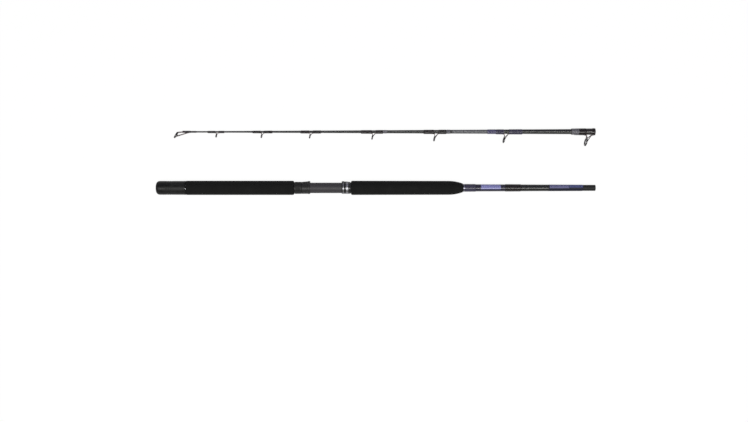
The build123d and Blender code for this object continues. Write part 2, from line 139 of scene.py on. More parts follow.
def softCorners(outline, radii, steps=4):     # the outline with each corner rounded to its radius
    softened = []
    count = len(outline)
    for index, (point, radius) in enumerate(zip(outline, radii)):
        corner = Vector(point)
        if not radius:
            softened.append(corner)
            continue
        before = Vector(outline[index - 1]) - corner
        after = Vector(outline[(index + 1) % count]) - corner
        half = before.angle(after) / 2
        reach = min(radius / math.tan(half), before.length * cornerShare,
                    after.length * cornerShare)
        radius = reach * math.tan(half)
        inward = (before.normalized() + after.normalized()).normalized()
        middle = corner + inward * radius / math.sin(half)
        first = corner + before.normalized() * reach - middle
        last = corner + after.normalized() * reach - middle
        sweep = first.angle(last)
        for step in range(steps + 1):
            share = step / steps
            blend = first * math.sin((1 - share) * sweep) + last * math.sin(share * sweep)
            softened.append(middle + blend / math.sin(sweep))
    return softened


def drawOutline(name, points):                # edges through (x, radius) points, left in edit mode
    deselectAll()
    here = points[0]
    bpy.ops.mesh.primitive_plane_add(size=mm, location=(here[0], 0, here[1]))
    piece = bpy.context.object
    piece.name = name
    applyPlace()
    bpy.ops.object.mode_set(mode="EDIT")
    bpy.ops.mesh.select_mode(type="VERT")
    bpy.ops.mesh.select_all(action="SELECT")
    bpy.ops.mesh.merge(type="CENTER")
    for point in points[1:]:
        step = (point[0] - here[0], 0, point[1] - here[1])
        bpy.ops.mesh.extrude_vertices_move(TRANSFORM_OT_translate={"value": step})
        here = point
    return piece


def closeMesh(gap=weld):       # welds the mesh, turns its faces outward and leaves edit mode
    bpy.ops.mesh.select_all(action="SELECT")
    bpy.ops.mesh.remove_doubles(threshold=gap)
    bpy.ops.mesh.delete_loose()
    bpy.ops.mesh.select_all(action="SELECT")
    bpy.ops.mesh.normals_make_consistent(inside=False)
    bpy.ops.object.mode_set(mode="OBJECT")


def turnPiece(name, outline, steps):          # a closed outline spun about the x axis
    piece = drawOutline(name, list(outline) + [outline[0]])
    bpy.ops.mesh.select_all(action="SELECT")
    bpy.ops.mesh.spin(steps=steps, angle=2 * math.pi, center=(0, 0, 0), axis=(1, 0, 0))
    closeMesh()
    return piece


def pickParts(piece, kind, wanted):           # selects faces or points, left in edit mode
    takeUp(piece)
    bpy.ops.object.mode_set(mode="EDIT")
    bpy.ops.mesh.select_mode(type=kind)
    bpy.ops.mesh.select_all(action="DESELECT")
    bpy.ops.object.mode_set(mode="OBJECT")
    for part in piece.data.polygons if kind == "FACE" else piece.data.vertices:
        part.select = wanted(part)
    bpy.ops.object.mode_set(mode="EDIT")


def pickFaces(piece, wanted):
    pickParts(piece, "FACE", lambda face: wanted(face.center, face.normal))


def pickVerts(piece, wanted):
    pickParts(piece, "VERT", lambda vertex: wanted(vertex.co))


def useModifier(piece, kind, **settings):
    takeUp(piece)
    modifier = piece.modifiers.new(kind.lower(), kind)
    for key, value in settings.items():
        setattr(modifier, key, value)
    bpy.ops.object.modifier_apply(modifier=modifier.name)


wireMesh = {"order": 4, "alongSteps": 6, "roundSteps": 4}


def bentWire(name, route, thickness):         # round wire along a smooth curve through five points
    deselectAll()
    bpy.ops.curve.primitive_nurbs_path_add(location=(0, 0, 0))
    wire = bpy.context.object
    wire.name = name
    spline = wire.data.splines[0]
    for point, place in zip(spline.points, route):
        point.co = (*place, 1)
    spline.order_u = wireMesh["order"]
    spline.use_endpoint_u = True
    spline.resolution_u = wireMesh["alongSteps"]
    wire.data.bevel_depth = thickness / 2
    wire.data.bevel_resolution = wireMesh["roundSteps"]
    wire.data.use_fill_caps = True
    bpy.ops.object.convert(target="MESH")
    bpy.ops.object.mode_set(mode="EDIT")
    closeMesh()
    return wire


def placeMesh(piece, place):   # moves the mesh and leaves the object at the origin
    takeUp(piece)
    piece.matrix_world = place
    applyPlace()


def joinPieces(pieces, name):
    whole = takeUp(*pieces)
    if len(pieces) > 1:
        bpy.ops.object.join()
    whole.name = name
    return whole


def paintPiece(piece, paint):
    piece.data.materials.clear()
    piece.data.materials.append(paint)


def handOver(piece, place, body, node, crease=35):
    placeMesh(piece, place)
    bpy.ops.object.shade_smooth_by_angle(angle=math.radians(crease))
    piece.data.name = piece.name
    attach(piece, body)
    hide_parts(node)


# camera, floor and lights

view = {"height": 2.1, "frameWidth": 1.743, "sensor": 36.0, "left": -0.004, "down": -0.1153}
camData = bpy.data.cameras.new("camera")
camData.sensor_width = view["sensor"]
camData.lens = (view["height"] - buttOrigin.z) * view["sensor"] / view["frameWidth"]
camera = bpy.data.objects.new("camera", camData)
bpy.context.scene.collection.objects.link(camera)
camera.location = (view["left"], view["down"], view["height"])
bpy.context.scene.camera = camera
bpy.context.scene.view_settings.view_transform = "Standard"

studio = {"floorSize": 14, "floorColour": (0.03, 0.03, 0.03), "floorRoughness": 0.95,
          "floorGlow": 0.97, "world": 0.05, "boxLength": 5.0}
deselectAll()
bpy.ops.mesh.primitive_plane_add(size=studio["floorSize"], location=(0, 0, 0))
floor = bpy.context.object
floor.name = "floor"
floorPaint = bpy.data.materials.new("floorPaint")
floorPaint.use_nodes = True
floorShader = floorPaint.node_tree.nodes["Principled BSDF"]
floorShader.inputs["Base Color"].default_value = (*studio["floorColour"], 1)
floorShader.inputs["Roughness"].default_value = studio["floorRoughness"]
floorShader.inputs["Specular IOR Level"].default_value = 0.0
floorShader.inputs["Emission Color"].default_value = (1, 1, 1, 1)
floorShader.inputs["Emission Strength"].default_value = studio["floorGlow"]
floor.data.materials.append(floorPaint)

softBoxes = {                  # long lights over the rod, all turned to the middle of the floor
    "keyBox": {"place": (0, -0.8, 2.7), "depth": 0.5, "power": 125, "colour": (1.0, 1.0, 0.98)},
    "frontBox": {"place": (0, -2.9, 1.4), "depth": 0.9, "power": 8, "colour": (1.0, 0.93, 0.70)},
    "backBox": {"place": (0, 2.7, 2.0), "depth": 0.8, "power": 18, "colour": (0.78, 0.78, 1.0)},
}


def hangSoftBox(name, place, depth, power, colour):
    lampData = bpy.data.lights.new(name, "AREA")
    lampData.shape = "RECTANGLE"
    lampData.size = studio["boxLength"]
    lampData.size_y = depth
    lampData.energy = power
    lampData.color = colour
    lamp = bpy.data.objects.new(name, lampData)
    bpy.context.scene.collection.objects.link(lamp)
    lamp.location = place
    lamp.rotation_euler = (-Vector(place)).to_track_quat("-Z", "Y").to_euler()


for name, box in softBoxes.items():
    hangSoftBox(name, **box)
world = bpy.data.worlds.new("studio")
bpy.context.scene.world = world
world.use_nodes = True
world.node_tree.nodes["Background"].inputs["Color"].default_value = (1, 1, 1, 1)
world.node_tree.nodes["Background"].inputs["Strength"].default_value = studio["world"]
print("stage: studio set")


# finishes

waveUnit = 2 * math.pi / 20    # scale of a wave texture that has one band each metre


def newPaint(name, colour, roughness, ior, **others):
    paint = bpy.data.materials.new(name)
    paint.use_nodes = True
    shader = paint.node_tree.nodes["Principled BSDF"]
    shader.inputs["Base Color"].default_value = (*colour, 1)
    shader.inputs["Roughness"].default_value = roughness
    shader.inputs["IOR"].default_value = ior
    for key, value in others.items():
        shader.inputs[key.replace("_", " ")].default_value = value
    return paint


def addNode(paint, kind, feeds=(), **values):
    node = paint.node_tree.nodes.new("ShaderNode" + kind)
    for key, value in values.items():
        if hasattr(node, key):
            setattr(node, key, value)
        else:
            node.inputs[key.replace("_", " ")].default_value = value
    for key, source in feeds:
        paint.node_tree.links.new(source, node.inputs[key])
    return node


def feedShader(paint, key, source):
    paint.node_tree.links.new(source, paint.node_tree.nodes["Principled BSDF"].inputs[key])


def objectPoint(paint):
    return addNode(paint, "TexCoord").outputs["Object"]


def grain(paint, size, detail=3.0, roughness=0.5):       # noise with features about size metres across
    return addNode(paint, "TexNoise", [("Vector", objectPoint(paint))], Scale=1 / size,
                   Detail=detail, Roughness=roughness).outputs["Fac"]


def spread(paint, source, low, high, start=0.3, end=0.7):     # most noise lies between 0.3 and 0.7
    return addNode(paint, "MapRange", [("Value", source)], From_Min=start, From_Max=end,
                   To_Min=low, To_Max=high).outputs["Result"]


def softStep(paint, source, middle, soft):    # rises from 0 to 1 around a value
    return addNode(paint, "MapRange", [("Value", source)], interpolation_type="SMOOTHSTEP",
                   From_Min=middle - soft, From_Max=middle + soft).outputs["Result"]


def mixColours(paint, factor, first, second):
    mix = addNode(paint, "Mix", data_type="RGBA")
    for key, value in ((0, factor), (6, first), (7, second)):
        if isinstance(value, tuple):
            mix.inputs[key].default_value = (*value, 1)
        else:
            paint.node_tree.links.new(value, mix.inputs[key])
    return mix.outputs[2]


def doMath(paint, operation, *values):
    node = addNode(paint, "Math", operation=operation)
    for key, value in enumerate(values):
        if isinstance(value, (int, float)):
            node.inputs[key].default_value = value
        else:
            paint.node_tree.links.new(value, node.inputs[key])
    return node.outputs[0]


def bumpFrom(paint, height, depth, strength):
    bump = addNode(paint, "Bump", [("Height", height)], Strength=strength, Distance=depth)
    feedShader(paint, "Normal", bump.outputs["Normal"])


def ripples(paint, period):    # round the rod, one each period
    return addNode(paint, "TexWave", [("Vector", objectPoint(paint))], wave_type="BANDS",
                   bands_direction="X", Scale=waveUnit / period, Distortion=0.0,
                   Detail=0.0).outputs["Fac"]


foam = {"dark": (0.0042, 0.0042, 0.0043), "light": (0.0075, 0.0075, 0.0075), "ior": 1.25,
        "cell": 0.75 * mm, "fine": 0.3 * mm, "patch": 22 * mm, "roughness": (0.78, 0.93),
        "cellDepth": -0.6, "bump": 0.12 * mm, "strength": 0.6}


def makeFoam():
    paint = newPaint("gripFoam", foam["dark"], foam["roughness"][0], foam["ior"])
    cells = addNode(paint, "TexVoronoi", [("Vector", objectPoint(paint))],
                    Scale=1 / foam["cell"]).outputs["Distance"]
    fine = grain(paint, foam["fine"], 4.0)
    patches = grain(paint, foam["patch"], 2.0)
    factor = doMath(paint, "MULTIPLY", cells, patches)
    feedShader(paint, "Base Color", mixColours(paint, factor, foam["dark"], foam["light"]))
    feedShader(paint, "Roughness", spread(paint, patches, *foam["roughness"]))
    height = doMath(paint, "ADD", doMath(paint, "MULTIPLY", cells, foam["cellDepth"]), fine)
    bumpFrom(paint, height, foam["bump"], foam["strength"])
    return paint


rubber = {"ior": 1.3, "fine": 0.25 * mm, "scuff": 14 * mm, "worn": 1.9, "dust": 0.002,
          "smoother": 0.08, "rougher": 0.14, "bump": 0.03 * mm, "strength": 0.5}


def makeRubber(name, colour, roughness):
    paint = newPaint(name, colour, roughness, rubber["ior"])
    fine = grain(paint, rubber["fine"])
    scuffs = grain(paint, rubber["scuff"], 5.0, 0.65)
    light = tuple(min(1, channel * rubber["worn"] + rubber["dust"]) for channel in colour)
    feedShader(paint, "Base Color",
               mixColours(paint, spread(paint, scuffs, 0, 1, 0.4, 0.75), colour, light))
    feedShader(paint, "Roughness", spread(paint, scuffs, roughness - rubber["smoother"],
                                          roughness + rubber["rougher"]))
    bumpFrom(paint, fine, rubber["bump"], rubber["strength"])
    return paint


moulded = {"ior": 1.35, "coatRoughness": 0.12, "coatIor": 1.3, "flow": 9 * mm, "fleck": 0.18 * mm,
           "light": 1.45, "smoother": 0.07, "rougher": 0.1, "bump": 0.012 * mm, "strength": 0.4}


def makeMoulded(name, colour, roughness, coat=0.0):      # moulded or painted hard part
    paint = newPaint(name, colour, roughness, moulded["ior"], Coat_Weight=coat,
                     Coat_Roughness=moulded["coatRoughness"], Coat_IOR=moulded["coatIor"])
    flow = grain(paint, moulded["flow"], 4.0, 0.6)
    fleck = grain(paint, moulded["fleck"], 2.0)
    light = tuple(min(1, channel * moulded["light"]) for channel in colour)
    feedShader(paint, "Base Color",
               mixColours(paint, spread(paint, fleck, 0, 0.8, 0.45, 0.7), colour, light))
    feedShader(paint, "Roughness", spread(paint, flow, roughness - moulded["smoother"],
                                          roughness + moulded["rougher"]))
    bumpFrom(paint, fleck, moulded["bump"], moulded["strength"])
    return paint


metal = {"ior": 1.5, "turning": 0.12 * mm, "cloud": 3 * mm, "breaks": 0.6 * mm,
         "smoother": 0.75, "rougher": 1.35, "bump": 0.006 * mm, "strength": 0.5}


def makeMetal(name, colour, roughness):       # turned metal
    paint = newPaint(name, colour, roughness, metal["ior"], Metallic=1.0)
    turned = ripples(paint, metal["turning"])
    cloudy = grain(paint, metal["cloud"], 5.0, 0.6)
    feedShader(paint, "Roughness", spread(paint, cloudy, roughness * metal["smoother"],
                                          roughness * metal["rougher"]))
    height = doMath(paint, "MULTIPLY", turned, grain(paint, metal["breaks"]))
    bumpFrom(paint, height, metal["bump"], metal["strength"])
    return paint


thread = {"roughness": 0.42, "ior": 1.3, "coat": 0.8, "coatRoughness": 0.08, "coatIor": 1.3,
          "pitch": 0.24 * mm, "slub": 1.6 * mm, "zoneEdge": 0.4 * mm, "bump": 0.06 * mm,
          "strength": 0.7}
silverZone = {"start": 0.0385, "end": 0.1, "colour": (0.16, 0.155, 0.175),
              "second": (0.06, 0.057, 0.07)}


def makeThread(name, colour, second, zone=None):         # thread laid side by side under epoxy
    paint = newPaint(name, colour, thread["roughness"], thread["ior"], Coat_Weight=thread["coat"],
                     Coat_Roughness=thread["coatRoughness"], Coat_IOR=thread["coatIor"])
    turns = ripples(paint, thread["pitch"])
    slub = grain(paint, thread["slub"])
    factor = doMath(paint, "MULTIPLY", turns, spread(paint, slub, 0.45, 1.0, 0.35, 0.65))
    shown = mixColours(paint, factor, second, colour)
    if zone:                   # the stretch laid in another thread
        mask = stripe(paint, tipPlace, zone["start"], zone["end"], thread["zoneEdge"])
        other = mixColours(paint, factor, zone["second"], zone["colour"])
        shown = mixColours(paint, mask, shown, other)
    feedShader(paint, "Base Color", shown)
    bumpFrom(paint, turns, thread["bump"], thread["strength"])
    return paint


ceramic = {"dark": (0.016, 0.016, 0.017), "light": (0.03, 0.03, 0.032), "roughness": (0.1, 0.22),
           "ior": 1.45, "cloud": 0.8 * mm}


def makeCeramic():
    paint = newPaint("guideCeramic", ceramic["dark"], ceramic["roughness"][0], ceramic["ior"])
    cloudy = grain(paint, ceramic["cloud"], 4.0)
    feedShader(paint, "Roughness", spread(paint, cloudy, *ceramic["roughness"]))
    feedShader(paint, "Base Color", mixColours(paint, cloudy, ceramic["dark"], ceramic["light"]))
    return paint


gloss = {"roughness": 0.30, "ior": 1.38, "coat": 0.8, "coatRoughness": 0.25, "coatIor": 1.4,
         "slant": (0, 0.25, 0.3), "weave": 0.5 * mm, "weaveDepth": 0.08, "light": 1.8,
         "bump": 0.003 * mm, "strength": 0.3}


def makeBlank(name, colour, tape):            # glossy, with the faint spiral of the tape that pressed it
    paint = newPaint(name, colour, gloss["roughness"], gloss["ior"], Coat_Weight=gloss["coat"],
                     Coat_Roughness=gloss["coatRoughness"], Coat_IOR=gloss["coatIor"])
    slant = addNode(paint, "Mapping", [("Vector", objectPoint(paint))],
                    Rotation=gloss["slant"]).outputs["Vector"]
    ridge = addNode(paint, "TexWave", [("Vector", slant)], bands_direction="X",
                    Scale=waveUnit / tape, Distortion=0.6, Detail=1.0).outputs["Fac"]
    weave = grain(paint, gloss["weave"])
    height = doMath(paint, "ADD", ridge, doMath(paint, "MULTIPLY", weave, gloss["weaveDepth"]))
    bumpFrom(paint, height, gloss["bump"], gloss["strength"])
    light = tuple(channel * gloss["light"] for channel in colour)
    return paint, mixColours(paint, spread(paint, weave, 0, 0.7, 0.4, 0.7), colour, light)


def stripe(paint, place, start, end, soft):   # 1 between two stations of a section, 0 outside
    across = addNode(paint, "SeparateXYZ", [("Vector", objectPoint(paint))]).outputs["X"]
    low, high = sorted((place @ Vector((start, 0, 0))).x for start in (start, end))
    return doMath(paint, "SUBTRACT", softStep(paint, across, low, soft),
                  softStep(paint, across, high, soft))


def sideMask(paint, place, tilt, halfAngle, radius, soft):    # 1 on the side tilted so far from upright
    facing = Vector((0, math.sin(math.radians(tilt)), math.cos(math.radians(tilt))))
    moved = addNode(paint, "VectorMath", [(0, objectPoint(paint))], operation="SUBTRACT")
    moved.inputs[1].default_value = place.translation
    reach = addNode(paint, "VectorMath", [(0, moved.outputs["Vector"])], operation="DOT_PRODUCT")
    reach.inputs[1].default_value = facing
    edge = math.cos(math.radians(halfAngle))
    return softStep(paint, reach.outputs["Value"], edge * radius, soft * radius)


paints = {
    "foam": makeFoam(),
    "capRubber": makeRubber("capRubber", (0.0045, 0.0045, 0.0045), 0.46),
    "padRubber": makeRubber("padRubber", (0.006, 0.006, 0.006), 0.6),
    "gimbalAlloy": makeMetal("gimbalAlloy", (0.55, 0.56, 0.58), 0.3),
    "seatGrey": makeMoulded("seatGrey", (0.030, 0.028, 0.032), 0.52),
    "nutBlack": makeMoulded("nutBlack", (0.009, 0.009, 0.009), 0.5),
    "hoodDark": makeMoulded("hoodDark", (0.010, 0.010, 0.011), 0.3, 0.3),
    "hoodSatin": makeMoulded("hoodSatin", (0.013, 0.013, 0.0135), 0.45),
    "cushion": makeRubber("cushionLining", (0.03, 0.03, 0.03), 0.6),
    "brightBand": makeMetal("brightBand", (0.27, 0.27, 0.29), 0.42),
    "checkRing": makeMetal("checkRing", (0.20, 0.20, 0.25), 0.28),
    "arbor": makeRubber("arborCork", (0.25, 0.16, 0.09), 0.8),
    "threadViolet": makeThread("threadViolet", (0.050, 0.045, 0.085), (0.020, 0.018, 0.036)),
    "threadBlack": makeThread("threadBlack", (0.012, 0.007, 0.009), (0.004, 0.0025, 0.003)),
    "threadFerrule": makeThread("threadFerrule", (0.012, 0.007, 0.009), (0.004, 0.0025, 0.003),
                                silverZone),
    "threadSilver": makeThread("threadSilver", (0.16, 0.155, 0.175), (0.06, 0.057, 0.07)),
    "threadBlue": makeThread("threadBlue", (0.085, 0.078, 0.165), (0.035, 0.032, 0.075)),
    "wireSteel": makeMetal("wireSteel", (0.150, 0.122, 0.122), 0.3),
    "holderSteel": makeMetal("holderSteel", (0.055, 0.053, 0.056), 0.32),
    "ceramic": makeCeramic(),
}
print("stage: finishes mixed")


# handle: cap, gimbal, grips

butt = "butt_section"
buttOutline = cadOutline("butt_blank", buttPlace)

capShape = {"wall": 2.7 * mm, "endWall": 3.5 * mm, "endRound": 7.5 * mm, "crown": 0.7 * mm,
            "lip": 0.12 * mm, "lipLength": 5 * mm, "lipRamp": 0.6 * mm, "lipRound": 0.5 * mm,
            "groove": 0.28 * mm, "grooves": (0.36, 0.44, 0.52), "grooveHalf": 1.3 * mm,
            "floorHalf": 0.7 * mm, "grooveRound": 0.3 * mm, "mouthRounds": [0.9 * mm, 0.6 * mm],
            "insideRound": 0.8 * mm, "gap": 0.08 * mm}


def makeCap():
    start, end = cadSpan("butt_cap", buttPlace)
    outer = cadRadius("butt_cap")
    bore = outer - capShape["wall"] + capShape["gap"]
    lipStart = end - capShape["lipLength"]
    flat = outer - capShape["lip"]
    bottom = flat - capShape["groove"]
    outline = [(start, 0), (start + capShape["crown"], flat)]
    radii = [0, capShape["endRound"]]
    for share in capShape["grooves"]:
        middle = start + (end - start) * share
        outline += [(middle - capShape["grooveHalf"], flat), (middle - capShape["floorHalf"], bottom),
                    (middle + capShape["floorHalf"], bottom), (middle + capShape["grooveHalf"], flat)]
        radii += [capShape["grooveRound"]] * 4
    outline += [(lipStart - capShape["lipRamp"], flat), (lipStart, outer), (end, outer), (end, bore)]
    radii += [capShape["lipRound"]] * 2 + capShape["mouthRounds"]
    outline += [(start + capShape["endWall"], bore), (start + capShape["endWall"], 0)]
    radii += [capShape["insideRound"], 0]
    cap = turnPiece("butt_cap_rubber", softCorners(outline, radii), rounds["handle"])
    paintPiece(cap, paints["capRubber"])
    handOver(cap, buttPlace, "butt_cap", "butt_cap")


gimbalShape = {"round": 1.2 * mm, "slotWidth": 6.5 * mm, "slotDepth": 15 * mm, "edge": 0.35 * mm,
               "sharpest": 50}


def makeGimbal():
    start, end = cadSpan("gimbal", buttPlace)
    outer = cadRadius("gimbal")
    seat, blankRadius = buttOutline[0]
    outline = [(start, 0), (start, outer), (end, outer), (end, blankRadius), (seat, blankRadius),
               (seat, 0)]
    radii = [0, gimbalShape["round"], 0, 0, 0, 0]
    gimbal = turnPiece("gimbal_body", softCorners(outline, radii), rounds["butt"])
    cutterSize = (2 * gimbalShape["slotDepth"], gimbalShape["slotWidth"], 4 * outer)
    for turn in (0, 90):
        deselectAll()
        bpy.ops.mesh.primitive_cube_add(size=1, location=(start, 0, 0), scale=cutterSize,
                                        rotation=(math.radians(turn), 0, 0))
        cutter = bpy.context.object
        applyPlace()
        useModifier(gimbal, "BOOLEAN", operation="DIFFERENCE", object=cutter, solver="EXACT")
        bpy.data.objects.remove(cutter, do_unlink=True)
    useModifier(gimbal, "BEVEL", width=gimbalShape["edge"], segments=2, limit_method="ANGLE",
                angle_limit=math.radians(gimbalShape["sharpest"]))
    paintPiece(gimbal, paints["gimbalAlloy"])
    handOver(gimbal, buttPlace, butt, "gimbal")


gripShape = {"backRound": 1.2 * mm, "frontRound": 3.4 * mm, "cornerSteps": 6,
             "overBore": 0.4 * mm, "crease": 60}


def makeRearGrip():
    start, end = cadSpan("rear_grip", buttPlace)
    outer = cadRadius("rear_grip")
    bore = radiusAt(buttOutline, start)
    outline = [(start, bore), (start, outer), (end, outer), (end, bore)]
    radii = [0, gripShape["backRound"], gripShape["frontRound"], 0]
    soft = softCorners(outline, radii, gripShape["cornerSteps"])
    grip = turnPiece("rear_grip_foam", soft, rounds["handle"])
    paintPiece(grip, paints["foam"])
    handOver(grip, buttPlace, butt, "rear_grip")


def makeForegrip():
    least = buttOutline[0][1] + gripShape["overBore"]
    outline = [spot for spot in cadOutline("foregrip", buttPlace) if spot[1] > least]
    outline = [(outline[0][0], radiusAt(buttOutline, outline[0][0]))] + outline
    outline.append((outline[-1][0], radiusAt(buttOutline, outline[-1][0])))
    grip = turnPiece("foregrip_foam", outline, rounds["handle"])
    paintPiece(grip, paints["foam"])
    handOver(grip, buttPlace, butt, "foregrip", gripShape["crease"])


makeCap()
makeGimbal()
makeRearGrip()
makeForegrip()
print("stage: handle made")


# reel seat: barrel with its thread, lock nut, hoods and bands

seatShape = {"wall": 2.0 * mm, "pitch": 2.5 * mm, "threadDepth": 0.8 * mm, "crestDrop": 0.03 * mm,
             "saddleDrop": 1.2 * mm, "saddleStep": 0.04 * mm, "footReach": 13.0 * mm,
             "keyWidth": 4.0 * mm, "keyDepth": 1.2 * mm, "keyEdge": 0.1 * mm, "gap": 0.06 * mm,
             "threadSteps": 64, "threadWeld": 0.01 * mm, "crease": 28}
barrelRadius = cadRadius("seat_barrel")
seatBore = barrelRadius + seatShape["gap"]
slideStart, slideEnd = cadSpan("sliding_hood", buttPlace)
fixedStart, fixedEnd = cadSpan("fixed_hood", buttPlace)
joints = frame["record"]["behaviour"]["joints"]
travel = max(next(joint for joint in joints if joint["name"] == "hood_slide")["range_m"])


def makeBarrel():
    start, end = cadSpan("seat_barrel", buttPlace)
    threadEnd = slideStart + travel
    bore = barrelRadius - seatShape["wall"]
    saddleStart = slideEnd - seatShape["footReach"]
    saddleEnd = fixedStart + seatShape["footReach"]
    step = seatShape["saddleStep"]
    outline = [(threadEnd - mm, bore), (threadEnd - mm, barrelRadius)]
    for edge in (saddleStart, saddleEnd):
        outline += [(edge - step, barrelRadius), (edge + step, barrelRadius)]
    outline += [(end, barrelRadius), (end, bore)]
    barrel = turnPiece("seat_barrel_tube", outline, rounds["butt"])
    saddleHeight = barrelRadius - seatShape["saddleDrop"]
    pickVerts(barrel, lambda spot: saddleStart < spot.x < saddleEnd and spot.z > saddleHeight)
    bpy.ops.transform.resize(value=(1, 1, 0), center_override=(0, 0, saddleHeight))
    keyEnd = slideEnd + travel + mm
    takeUp(barrel)
    bpy.ops.object.mode_set(mode="EDIT")
    bpy.ops.mesh.select_all(action="SELECT")
    bpy.ops.mesh.bisect(plane_co=(keyEnd, 0, 0), plane_no=(1, 0, 0))
    pickFaces(barrel, lambda spot, way: spot.z < 0 and abs(spot.y) < seatShape["keyWidth"] / 2
              and spot.x < keyEnd and way.z < -0.5)
    bpy.ops.mesh.inset(thickness=seatShape["keyEdge"], depth=-seatShape["keyDepth"])
    bpy.ops.object.mode_set(mode="OBJECT")

    crest = barrelRadius - seatShape["crestDrop"]
    root = crest - seatShape["threadDepth"]
    pitch = seatShape["pitch"]
    profile = [(0, root), (0.28, crest), (0.5, crest), (0.78, root), (1.0, root)]
    threadStart = start - pitch
    outline = [(threadStart + share * pitch, radius) for share, radius in profile]
    ridge = drawOutline("seat_thread", outline)
    bpy.ops.object.mode_set(mode="OBJECT")
    turns = math.ceil((threadEnd - threadStart) / pitch) + 1
    useModifier(ridge, "SCREW", axis="X", screw_offset=pitch, iterations=turns,
                steps=seatShape["threadSteps"], render_steps=seatShape["threadSteps"],
                use_merge_vertices=True, merge_threshold=seatShape["threadWeld"])
    takeUp(ridge)
    bpy.ops.object.mode_set(mode="EDIT")
    for edge, side in ((start, -1), (threadEnd, 1)):
        bpy.ops.mesh.select_all(action="SELECT")
        bpy.ops.mesh.bisect(plane_co=(edge, 0, 0), plane_no=(side, 0, 0), clear_outer=True,
                            use_fill=True)
    closeMesh(seatShape["threadWeld"] / 2)
    whole = joinPieces([barrel, ridge], "seat_barrel_tube")
    paintPiece(whole, paints["seatGrey"])
    handOver(whole, buttPlace, butt, "seat_barrel", seatShape["crease"])


nutShape = {"pads": 6, "padHalfAngle": 15.0, "margin": 3.3 * mm, "recess": 0.5 * mm,
            "rise": 0.3 * mm, "edge": 0.7 * mm, "padEdge": 0.35 * mm, "padFrame": 0.3 * mm,
            "padSlope": 0.25 * mm}


def offAngle(spot, angle):     # degrees between a point's side of the rod and an angle from the reel side
    away = math.degrees(math.atan2(-spot.y, spot.z)) - angle
    return abs((away + 180) % 360 - 180)


def makeLockNut():
    start, end = cadSpan("lock_nut", buttPlace)
    outer = cadRadius("lock_nut")
    first = start + nutShape["margin"]
    last = end - nutShape["margin"]
    outline = [(start, seatBore), (start, outer), (first, outer), (last, outer), (end, outer),
               (end, seatBore)]
    radii = [0, nutShape["edge"], 0, 0, nutShape["edge"], 0]
    nut = turnPiece("lock_nut_body", softCorners(outline, radii), rounds["seat"])
    nut.data.materials.append(paints["nutBlack"])
    nut.data.materials.append(paints["padRubber"])
    angles = [index * 360 / nutShape["pads"] for index in range(nutShape["pads"])]

    def onPad(spot, way):
        outside = math.hypot(spot.y, spot.z) > outer - mm and first < spot.x < last
        return outside and min(offAngle(spot, angle) for angle in angles) < nutShape["padHalfAngle"]

    pickFaces(nut, onPad)
    bpy.ops.mesh.inset(thickness=nutShape["padEdge"], depth=-nutShape["recess"])
    bpy.ops.mesh.inset(thickness=nutShape["padFrame"])
    nut.active_material_index = 1
    bpy.ops.object.material_slot_assign()
    bpy.ops.mesh.inset(thickness=nutShape["padSlope"], depth=nutShape["rise"])
    bpy.ops.object.mode_set(mode="OBJECT")
    handOver(nut, buttPlace, "lock_nut", "lock_nut")


hoodShape = {"wall": 1.7 * mm, "rise": 1.7 * mm, "halfWidth": 8.75 * mm, "flank": 1.1 * mm,
             "flankShare": 0.35, "skin": 0.9 * mm, "pocketHalf": 6.5 * mm, "pocketTop": 14.3 * mm,
             "pocketSkin": 0.2 * mm, "pocketStep": 0.3 * mm, "rimLength": 5.0 * mm,
             "rimRise": 0.35 * mm, "rimRamp": 0.5 * mm, "rimRound": 0.2 * mm, "edge": 0.5 * mm,
             "fluteAngles": (50, 95, 265, 310), "fluteHalf": 8.5, "fluteStart": 3.0 * mm,
             "fluteEnd": 11.0 * mm, "fluteDepth": 0.7 * mm, "fluteEdge": 0.3 * mm}
hoodRadius = barrelRadius + hoodShape["wall"]


def stationsOf(piece, toHood):
    return sorted({round(toHood(vertex.co.x), 6) for vertex in piece.data.vertices})


def raiseMouth(piece, length, toHood):        # lifts the wedge over the reel's foot, station by station
    half = hoodShape["halfWidth"]
    for station in stationsOf(piece, toHood):
        for start, end, share in ((0, half, 1.0),
                                  (half, half + hoodShape["flank"], hoodShape["flankShare"])):
            lift = 1 + share * hoodShape["rise"] * max(station, 0) / length / hoodRadius
            pickVerts(piece, lambda spot: abs(toHood(spot.x) - station) < sameStation
                      and spot.z > 0 and start <= abs(spot.y) < end
                      and math.hypot(spot.y, spot.z) > hoodRadius - hoodShape["skin"])
            bpy.ops.transform.resize(value=(1, lift, lift), center_override=(0, 0, 0))
    bpy.ops.object.mode_set(mode="OBJECT")


def hollowMouth(piece, length, toHood, bore):            # opens the pocket that the reel's foot slides into
    deep = length - seatShape["footReach"]
    slope = hoodShape["rise"] / length
    for station in stationsOf(piece, toHood):
        if station < deep:
            continue
        top = hoodShape["pocketTop"] - slope * (length - station)
        pickVerts(piece, lambda spot: abs(toHood(spot.x) - station) < sameStation
                  and spot.z > 0 and abs(spot.y) < hoodShape["pocketHalf"]
                  and math.hypot(spot.y, spot.z) < bore + hoodShape["pocketSkin"])
        bpy.ops.transform.resize(value=(1, top / bore, top / bore), center_override=(0, 0, 0))
    bpy.ops.object.mode_set(mode="OBJECT")


